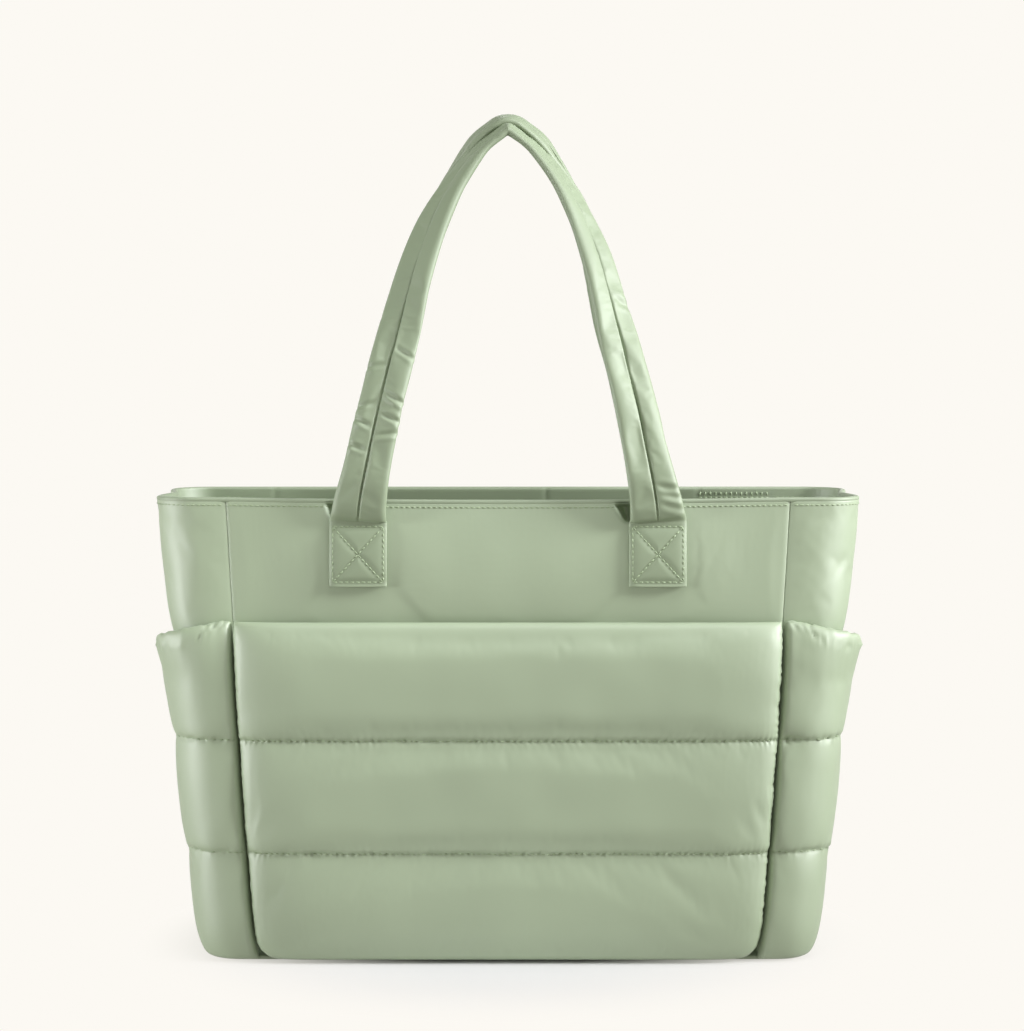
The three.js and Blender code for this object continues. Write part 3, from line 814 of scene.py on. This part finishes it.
class TOTE_OT_rim_facing(Operator):
    """Adds the facing inside the mouth and its rolled edge"""

    bl_idname = "tote.rim_facing"
    bl_label = "Rim Facing"

    def execute(self, context):
        body = context.scene.tote_body
        behind = body.wall + body.gap
        thick, hang, proud = 0.0014, 0.002, 0.0003
        rows = np.array([0, 0.25, *np.linspace(0.45, 1, 9)])
        section = [(behind + thick + hang * (1 - t), mix(FACING_FOOT, RIM, t)) for t in rows]
        crest = ROLL_TOP - RIM
        for angle in np.linspace(0, math.pi, 7):
            middle, half = (behind + thick - proud) / 2, (behind + thick + proud) / 2
            section.append((middle + half * math.cos(angle), RIM + crest * 0.3 + crest * 0.7 * math.sin(angle)))
        section += [(proud, RIM - 0.0014), (proud * 2, RIM + body.gap), (behind, RIM + body.gap)]
        section += [(behind + hang * (1 - t), mix(FACING_FOOT, RIM, t)) for t in rows[-2::-1]]
        inward, height = np.array(section).T
        wall_height = np.minimum(height, RIM)[None, :]
        line = np.linspace(-1, 1, 180, endpoint=False)[:, None]
        seam = body_at(wall_height)[2]
        share = np.linspace(0, 1, 70, endpoint=False)[:, None] + 0 * wall_height
        right, left = [self.side(wall_height, part, inward, height) for part in (share, 1 - share)]
        x = line * seam
        y = -body_at(wall_height)[1] - yoke_crown(x, wall_height) + inward
        front = placed(x, y, height[None, :] - rim_drop(x, wall_height))
        x = -line * seam
        creased = sum(np.exp(-(((x - place) / 0.0012) ** 2)) for place in FACING_SEAMS) * 0.0007 * (inward > behind)
        y = body_at(wall_height)[1] + yoke_crown(x, wall_height, back=True) - inward + creased
        back = placed(x, y, height[None, :])
        rings = np.concatenate([front, right, back, left * np.array([-1, 1, 1])])
        facing = loft("rim_facing_cloth", rings[:, ::-1], hoop=True)
        dress(facing, facing_cloth(), "rim_facing")
        return {"FINISHED"}

    def side(self, wall_height, share, inward, height):
        x, y, out_x, out_y, _ = gusset(wall_height + 0 * share, share)
        return placed(x - inward * out_x, y - inward * out_y, height[None, :])


class TOTE_OT_front_pocket(Operator):
    """Adds the wide front pocket with its three padded channels"""

    bl_idname = "tote.front_pocket"
    bl_label = "Front Pocket"

    def execute(self, context):
        body, padding = context.scene.tote_body, context.scene.tote_padding
        heights = channel_heights(POCKET_FOOT, POCKET_MOUTH, 24)
        u = np.linspace(-1, 1, 201)[:, None]
        u = mix(u, np.sin(u * math.pi / 2), 0.4)
        height = heights[None, :] + 0 * u
        foot_corner, off_seam = 0.016, 0.0007
        corner = foot_corner * (1 - round_off((height - POCKET_FOOT) / foot_corner))
        half = body_at(height)[2] - off_seam - corner
        x = half * u
        from_seam = half - np.abs(x)
        slack = padding.front_slack * round_off(from_seam / 0.04) * round_off((height - POCKET_FOOT) / 0.06)
        puff = channel_puff(height, POCKET_FOOT, POCKET_MOUTH)
        back = -body_at(height)[1] - body.gap - slack
        inside = placed(x, back, height)
        t = np.clip(from_seam / 0.024, 0, 1)
        front = back - padding.sewn - padding.front_puff * padding.start * puff * round_off(t)
        x = x + np.sign(u) * padding.overhang * 2 * round_off(t) * (1 - t) * puff
        pocket = shell("front_pocket_pad", placed(x, front, height), inside, 6)
        off_lines = from_lines(height, channel_edges(POCKET_FOOT, POCKET_MOUTH))
        free = ease(off_lines / LINE_HOLD) * ease(from_seam / 0.016)
        inflate(pocket, outer_only(pocket, free), 0.0018, 0.6, 0.3)
        dress(pocket, face_cloth(), "front_pocket")
        pucker(pocket, lambda at: from_lines(at[:, 2], (body.lower_seam, body.upper_seam)), 3)
        pucker(pocket, from_corner_seam, 4, upright=True, depth=(0.5, 0.8))
        return {"FINISHED"}


class TOTE_OT_side_pockets(Operator):
    """Adds the two side pockets, which follow the gussets"""

    bl_idname = "tote.side_pockets"
    bl_label = "Side Pockets"

    def execute(self, context):
        body, padding = context.scene.tote_body, context.scene.tote_padding
        share = np.linspace(0, 1, 91)
        at_mouth = gusset(POCKET_MOUTH + 0 * share, share)[4]
        dip_reach = np.where(share < 0.5, 0.085, 0.03)
        crinkle, crinkle_size = 0.0022, 0.010
        mouth = POCKET_MOUTH - padding.mouth_drop * ease(at_mouth / dip_reach)
        mouth = mouth + crinkle * wobble(placed(at_mouth, 0, share), crinkle_size, 2) * ease(at_mouth / 0.01)
        height = channel_heights(POCKET_FOOT, mouth, 22)
        share, mouth = share[:, None] + 0 * height, mouth[:, None] + 0 * height
        x, y, out_x, out_y, from_seam = gusset(height, share)
        round_end = ease(from_seam / 0.055)
        near = body.gap + padding.side_slack * round_end * round_off((height - POCKET_FOOT) / 0.04)
        foot_share, foot_reach, seam_rise = 0.3, 0.024, 0.004
        thin_foot = mix(foot_share, 1, round_off((height - POCKET_FOOT) / foot_reach))
        puff = channel_puff(height, POCKET_FOOT, mouth) * thin_foot
        wadding = padding.side_puff + seam_rise * (1 - round_end)
        far = near + padding.sewn + padding.start * wadding * puff * round_off(from_seam / 0.005)
        outside = placed(x + far * out_x + body.gap, y + far * out_y, height)
        inside = placed(x + near * out_x + body.gap, y + near * out_y, height)
        free = ease(from_lines(height, channel_edges(POCKET_FOOT, mouth)) / LINE_HOLD) * ease(from_seam / 0.014)
        for name, turn in (("right_side_pocket", np.array), ("left_side_pocket", mirrored)):
            pocket = shell(name + "_pad", turn(outside), turn(inside), 6)
            inflate(pocket, outer_only(pocket, free), 0.003, 0.6, 0.6)
            dress(pocket, face_cloth(), name)
            pucker(pocket, self.from_sewn_lines, 5 + len(name), depth=(1.6, 2.2))
            pucker(pocket, self.from_mouth, 7 + len(name), depth=(1.8, 1.8))
            pucker(pocket, from_corner_seam, 6 + len(name), upright=True, depth=(0.8, 1.3))
        return {"FINISHED"}

    def from_sewn_lines(self, at):
        body = bpy.context.scene.tote_body
        return from_lines(at[:, 2], (body.lower_seam, body.upper_seam))

    def from_mouth(self, at):
        aside = np.abs(at[:, 0]) - body_at(at[:, 2])[2]
        return at[:, 2] - POCKET_MOUTH + bpy.context.scene.tote_padding.mouth_drop * ease(aside / 0.04)


def strap_line(facing, rings):
    """Run, middle line, normal, width and thickness of a strap from its right sewn end over the peak to the left."""
    handles, body = bpy.context.scene.tote_handles, bpy.context.scene.tote_body
    sewn = bpy.context.scene.tote_padding.sewn
    tab = np.linspace(TAB_FOOT, handles.tab_top, 5)
    lying = body_at(tab)[1] + yoke_crown(handles.tab_reach, tab, back=True) + body.gap + sewn / 2
    flat_end = (handles.tab_reach, tab, lying, handles.tab_width, sewn, handles.tab_spread, 0, 0, 0)
    half = np.concatenate([np.stack(np.broadcast_arrays(*flat_end), -1), STRAP_PATH])
    left = half[-2::-1] * np.array([-1] + [1] * 8)
    rows = np.concatenate([half, left])
    turns = np.concatenate([half[:, 6], left[:, 7]]) if facing < 0 else rows[:, 8]
    places = np.stack([rows[:, 0], facing * rows[:, 2], rows[:, 1]], -1)
    knots = np.concatenate([[0], np.cumsum(np.linalg.norm(np.diff(places, axis=0), axis=-1) ** 0.5)])
    columns = np.concatenate([places, rows[:, 3:6], turns[:, None]], axis=1)
    fine = smooth_through(knots, columns, np.linspace(0, knots[-1], 4000))
    run = np.concatenate([[0], np.cumsum(np.linalg.norm(np.diff(fine[:, :3], axis=0), axis=-1))])
    flat = handles.tab_top - TAB_FOOT + 0.012
    end = np.concatenate([[0, 0.0004, 0.0012], np.linspace(0.0025, flat, 36)])
    middle = np.linspace(flat, run[-1] - flat, rings)[1:-1]
    at = np.concatenate([end, middle, run[-1] - end[::-1]])
    fine = np.stack([np.interp(at, run, column) for column in fine.T], -1)
    centre, width, thick, spread, turn = fine[:, :3], *fine[:, 3:].T
    along = np.gradient(centre, at, axis=0)
    along /= np.linalg.norm(along, axis=-1, keepdims=True)
    front = np.array([0, facing, 0]) - facing * along[:, 1:2] * along
    front /= np.linalg.norm(front, axis=-1, keepdims=True)
    outward = np.cross(along, front) * -facing
    angle = (turn * math.pi / 2)[:, None]
    normal = front * np.cos(angle) + outward * np.sin(angle)
    if facing > 0:
        centre = centre + outward * spread[:, None]
    return at, centre + np.array([0, MID_DEPTH, 0]), along, normal, width, thick


class TOTE_OT_handles(Operator):
    """Adds both padded straps with their flat sewn ends"""

    bl_idname = "tote.handles"
    bl_label = "Handles"

    def execute(self, context):
        for name, facing, rings in (("front_handle", -1, 420), ("back_handle", 1, 160)):
            skin, loose, creases = self.strap(facing, rings)
            sides = skin.shape[1]
            last = (len(skin) - 1) * sides
            caps = [list(range(sides)), [last + k for k in reversed(range(sides))]]
            handle = loft(name + "_strap", skin, caps)
            inflate(handle, loose, 0.0015, 0.6, 1.0)
            moved = coordinates(handle.data) + creases.reshape(-1, 3)
            handle.data.vertices.foreach_set("co", moved.astype(np.float32).ravel())
            dress(handle, strap_cloth_painted_shade(), name)
        return {"FINISHED"}

    def strap(self, facing, rings):
        """Rings of a strap, where its cloth is loose, and the moves that quilt and crease it."""
        handles = bpy.context.scene.tote_handles
        sewn = bpy.context.scene.tote_padding.sewn
        at, centre, along, normal, width, thick = strap_line(facing, rings)
        across = np.cross(normal, along)
        steps = np.linspace(1, -1, 19)[:-1]
        steps = np.sign(steps) * np.abs(steps) ** 1.3
        steps = np.sort(np.concatenate([steps, [0.03, -0.03]]))[::-1]
        sideways = np.concatenate([steps, -steps])
        face = np.repeat([1, -1], len(steps))
        puffed = np.clip((thick - sewn) / 0.005, 0, 1)[:, None]
        groove = 1 - handles.groove * puffed * np.exp(-((sideways / 0.03) ** 2))
        through = face * (1 - np.abs(sideways) ** mix(9, 3.4, puffed)) ** mix(0.4, 0.5, puffed) * groove
        aside = sideways * width[:, None] / 2
        skin = (
            centre[:, None]
            + across[:, None] * aside[..., None]
            + normal[:, None] * (through * thick[:, None] / 2)[..., None]
        )
        from_end = np.minimum(at, at[-1] - at)
        loose = (np.abs(sideways) > 0.04) * puffed * ease((from_end - 0.04) / 0.03)[:, None]
        swell = self.quilting(aside, from_end[:, None] + 0 * aside)
        if facing < 0:
            swell = swell - self.creases(at, centre, sideways, aside)
        return skin, loose, normal[:, None] * (swell * (face > 0))[..., None]

    def quilting(self, aside, from_end):
        """Swell of a sewn end between its stitched box and the box's diagonals."""
        handles = bpy.context.scene.tote_handles
        tall = handles.tab_top - TAB_FOOT
        half_w, half_h = handles.tab_width / 2 - handles.box_inset, tall / 2 - handles.box_inset
        a, b = np.abs(aside), np.abs(from_end - tall / 2)
        box = np.minimum(np.abs(half_w - a), np.abs(half_h - b))
        diagonal = np.abs(a / half_w - b / half_h) * half_w * half_h / math.hypot(half_w, half_h)
        line = np.where((a < half_w) & (b < half_h), np.minimum(box, diagonal), box)
        return handles.quilt * (1 - np.exp(-((line / 0.0018) ** 2))) * (from_end < tall)

    def creases(self, at, centre, sideways, aside):
        """Depth of the crosswise creases."""
        depth = np.zeros((len(at), len(sideways)))
        peak = len(at) // 2
        for leg, height, half, reach, deep, slant in STRAP_CREASES:
            if leg > 0:
                place = np.interp(height, centre[:peak, 2], at[:peak])
            else:
                place = np.interp(height, centre[:peak:-1, 2], at[:peak:-1])
            away = (at[:, None] - place - slant * aside) / reach
            fold = np.exp(-(away**2)) - 0.6 * np.exp(-((away - 2.2) ** 2)) - 0.3 * np.exp(-((away + 2.0) ** 2))
            depth += deep * fold * ease(sideways * half / 0.4)
        return depth


# A stitch, ring by ring: place along its length, lift in thread radii, and share of the radius
STITCH_RINGS = ((-0.5, -0.9, 0.7), (-0.34, 0.05, 1.0), (0.0, 0.4, 1.0), (0.34, 0.05, 1.0), (0.5, -0.9, 0.7))


class TOTE_OT_stitching(Operator):
    """Lays the rows of stitches on the finished cloth"""

    bl_idname = "tote.stitching"
    bl_label = "Stitching"

    def execute(self, context):
        self.trees = {}
        self.lay("rim_stitches", self.rim())
        self.lay("handle_stitches", self.sewn_ends() + self.strap_seams())
        self.lay("channel_stitches", self.channels())
        self.lay("facing_stitches", self.facing())
        return {"FINISHED"}

    def rim(self):
        height = RIM - RIM_ROW
        x = np.linspace(-1, 1, 300) * (body_at(height)[2] - 0.001)
        rows = self.row("front_panel_cloth", placed(x, -body_at(height)[1], height - rim_drop(x, height)), (0, -1, 0))
        rows += self.row("back_panel_cloth", placed(x, body_at(height)[1], height), (0, 1, 0))
        for name, side in (("right_side_panel_cloth", 1), ("left_side_panel_cloth", -1)):
            places, out = self.round_gusset(height, side)
            rows += self.row(name, places, out)
        return rows

    def round_gusset(self, height, side, inward=0.0):
        share = np.linspace(0.01, 0.99, 200)
        x, y, out_x, out_y, _ = gusset(height + 0 * share, share)
        places = placed(side * (x - inward * out_x), y - inward * out_y, height)
        return places, np.stack([side * out_x, out_y, 0 * share], -1)

    def sewn_ends(self):
        handles = bpy.context.scene.tote_handles
        wide = handles.tab_width / 2 - handles.box_inset
        low, high = TAB_FOOT + handles.box_inset, handles.tab_top - handles.box_inset
        corners = ((-wide, low), (wide, low), (wide, high), (-wide, high))
        lines = [*zip(corners, corners[1:] + corners[:1]), (corners[0], corners[2]), (corners[1], corners[3])]
        rows = []
        for name, facing, reach in (
            ("front_handle_strap", -1, handles.tab_reach),
            ("back_handle_strap", 1, handles.tab_reach + handles.tab_spread),
        ):
            for leg in (-reach, reach):
                for (x0, z0), (x1, z1) in lines:
                    t = np.linspace(0, 1, 20)
                    z = mix(z0, z1, t)
                    places = placed(leg + mix(x0, x1, t), facing * body_at(z)[1], z)
                    rows += self.row(name, places, (0, facing, 0))
        return rows

    def strap_seams(self):
        rows = []
        for name, facing in (("front_handle_strap", -1), ("back_handle_strap", 1)):
            at, centre, _, normal, *_ = strap_line(facing, 180)
            peak = len(at) // 2
            for half in (slice(0, peak), slice(peak, None)):
                low = (centre[half, 2] > STRAP_SEAM[0]) & (centre[half, 2] < STRAP_SEAM[1])
                rows += self.row(name, centre[half][low], normal[half][low])
        return rows

    def channels(self):
        body = bpy.context.scene.tote_body
        rows = []
        for height in (body.lower_seam, body.upper_seam):
            seam, depth = body_at(height)[2], body_at(height)[1]
            x = np.linspace(-1, 1, 300) * (seam - 0.004)
            rows += self.row("front_pocket_pad", placed(x, -depth, height), (0, -1, 0))
            rows += self.row("back_panel_cloth", placed(x, depth, height), (0, 1, 0))
            for name, side in (("right_side_pocket_pad", 1), ("left_side_pocket_pad", -1)):
                rows += self.row(name, *self.round_gusset(height, side))
        return rows

    def facing(self):
        body = bpy.context.scene.tote_body
        seam, depth = body_at(RIM)[2], body_at(RIM)[1]
        x = np.linspace(FACING_SEAMS[-1], seam - 0.002, 60)
        rows = self.row("rim_facing_cloth", placed(x, depth - body.wall, RIM - FACING_ROW), (0, -1, 0))
        bars = placed(x, depth - body.wall, RIM - FACING_BARS)
        rows += self.row("rim_facing_cloth", bars, (0, -1, 0), upright=True)
        for side in (1, -1):
            places, out = self.round_gusset(RIM - FACING_ROW, side, body.wall)
            rows += self.row("rim_facing_cloth", places, -out)
        return rows

    def row(self, cloth, places, out, upright=False):
        """Middle, direction and way out of each stitch along a line, dropped onto the cloth against the way out."""
        handles = bpy.context.scene.tote_handles
        if cloth not in self.trees:
            mesh = bpy.data.objects[cloth].data
            faces = [face.vertices for face in mesh.polygons]
            self.trees[cloth] = BVHTree.FromPolygons([point.co for point in mesh.vertices], faces)
        tree = self.trees[cloth]
        out = np.broadcast_to(np.array(out, float), places.shape)
        run = np.concatenate([[0], np.cumsum(np.linalg.norm(np.diff(places, axis=0), axis=-1))])
        count = max(1, round(run[-1] / handles.stitch_pitch))
        stitches = []
        for middle in (np.arange(count) + 0.5) * run[-1] / count:
            ends = []
            for step in (-0.35, 0.35):
                at = middle + (0 if upright else step * handles.stitch_length)
                place = np.array([np.interp(at, run, column) for column in places.T])
                if upright:
                    place[2] += step * handles.stitch_length
                away = np.array([np.interp(at, run, column) for column in out.T])
                hit = tree.ray_cast(Vector(place + away * DROP_FROM), Vector(-away), 2 * DROP_FROM)[0]
                ends.append(hit and np.array(hit))
            if all(end is not None for end in ends):
                ahead = ends[1] - ends[0]
                ahead /= max(np.linalg.norm(ahead), 1e-9)
                up = away - ahead * (away @ ahead)
                stitches.append(((ends[0] + ends[1]) / 2, ahead, up / np.linalg.norm(up)))
        return stitches

    def lay(self, name, stitches):
        """One piece of thread from many stitches."""
        handles = bpy.context.scene.tote_handles
        middle, ahead, up = [np.array(column)[:, None, None] for column in zip(*stitches)]
        side = np.cross(ahead, up)
        place, lift, size = [np.array(column)[:, None, None] for column in zip(*STITCH_RINGS)]
        corners = np.arange(6) * math.pi / 3
        wide = (size * np.cos(corners)[:, None]) * handles.thread_radius
        tall = (size * np.sin(corners)[:, None] + lift) * handles.thread_radius
        points = middle + ahead * place * handles.stitch_length + side * wide + up * tall
        rings, sides = points.shape[1:3]
        faces = [
            [r * sides + k, r * sides + (k + 1) % sides, (r + 1) * sides + (k + 1) % sides, (r + 1) * sides + k]
            for r in range(rings - 1)
            for k in range(sides)
        ]
        ends = [list(range(sides))[::-1], [(rings - 1) * sides + k for k in range(sides)]]
        shift = np.arange(len(points))[:, None, None] * rings * sides
        quads = (np.array(faces)[None] + shift).reshape(-1, 4).tolist()
        caps = (np.array(ends)[None] + shift).reshape(-1, sides).tolist()
        mesh = bpy.data.meshes.new(name)
        mesh.from_pydata(points.reshape(-1, 3).tolist(), [], quads + caps)
        thread = bpy.data.objects.new(name, mesh)
        bpy.context.scene.collection.objects.link(thread)
        dress(thread, sewing_thread(), smooth_levels=0)


class TOTE_PT_bag(Panel):
    """Lists the pieces and their sizes"""

    bl_idname = "TOTE_PT_bag"
    bl_label = "Padded Tote Bag"
    bl_space_type = "VIEW_3D"
    bl_region_type = "UI"
    bl_category = "Tote Bag"

    def draw(self, context):
        for operator in BUILD_ORDER:
            self.layout.operator(operator.bl_idname)
        for name, group in SETTINGS.items():
            box = self.layout.box()
            box.label(text=group.__doc__)
            for prop in group.__annotations__:
                box.prop(getattr(context.scene, name), prop)


SETTINGS = {
    "tote_body": ToteBody,
    "tote_padding": TotePadding,
    "tote_handles": ToteHandles,
    "tote_finish": ToteFinish,
    "tote_stage": ToteStage,
}
BUILD_ORDER = (
    TOTE_OT_stage,
    TOTE_OT_base_panel,
    TOTE_OT_front_panel,
    TOTE_OT_back_panel,
    TOTE_OT_side_panels,
    TOTE_OT_rim_facing,
    TOTE_OT_front_pocket,
    TOTE_OT_side_pockets,
    TOTE_OT_handles,
    TOTE_OT_stitching,
)


def register():
    for cls in (*SETTINGS.values(), *BUILD_ORDER, TOTE_PT_bag):
        bpy.utils.register_class(cls)
    for name, group in SETTINGS.items():
        setattr(bpy.types.Scene, name, PointerProperty(type=group))


def unregister():
    for name in SETTINGS:
        delattr(bpy.types.Scene, name)
    for cls in (TOTE_PT_bag, *reversed(BUILD_ORDER), *SETTINGS.values()):
        bpy.utils.unregister_class(cls)


def main():
    register()
    for operator in BUILD_ORDER:
        group, name = operator.bl_idname.split(".")
        getattr(getattr(bpy.ops, group), name)()


if __name__ == "__main__":
    main()
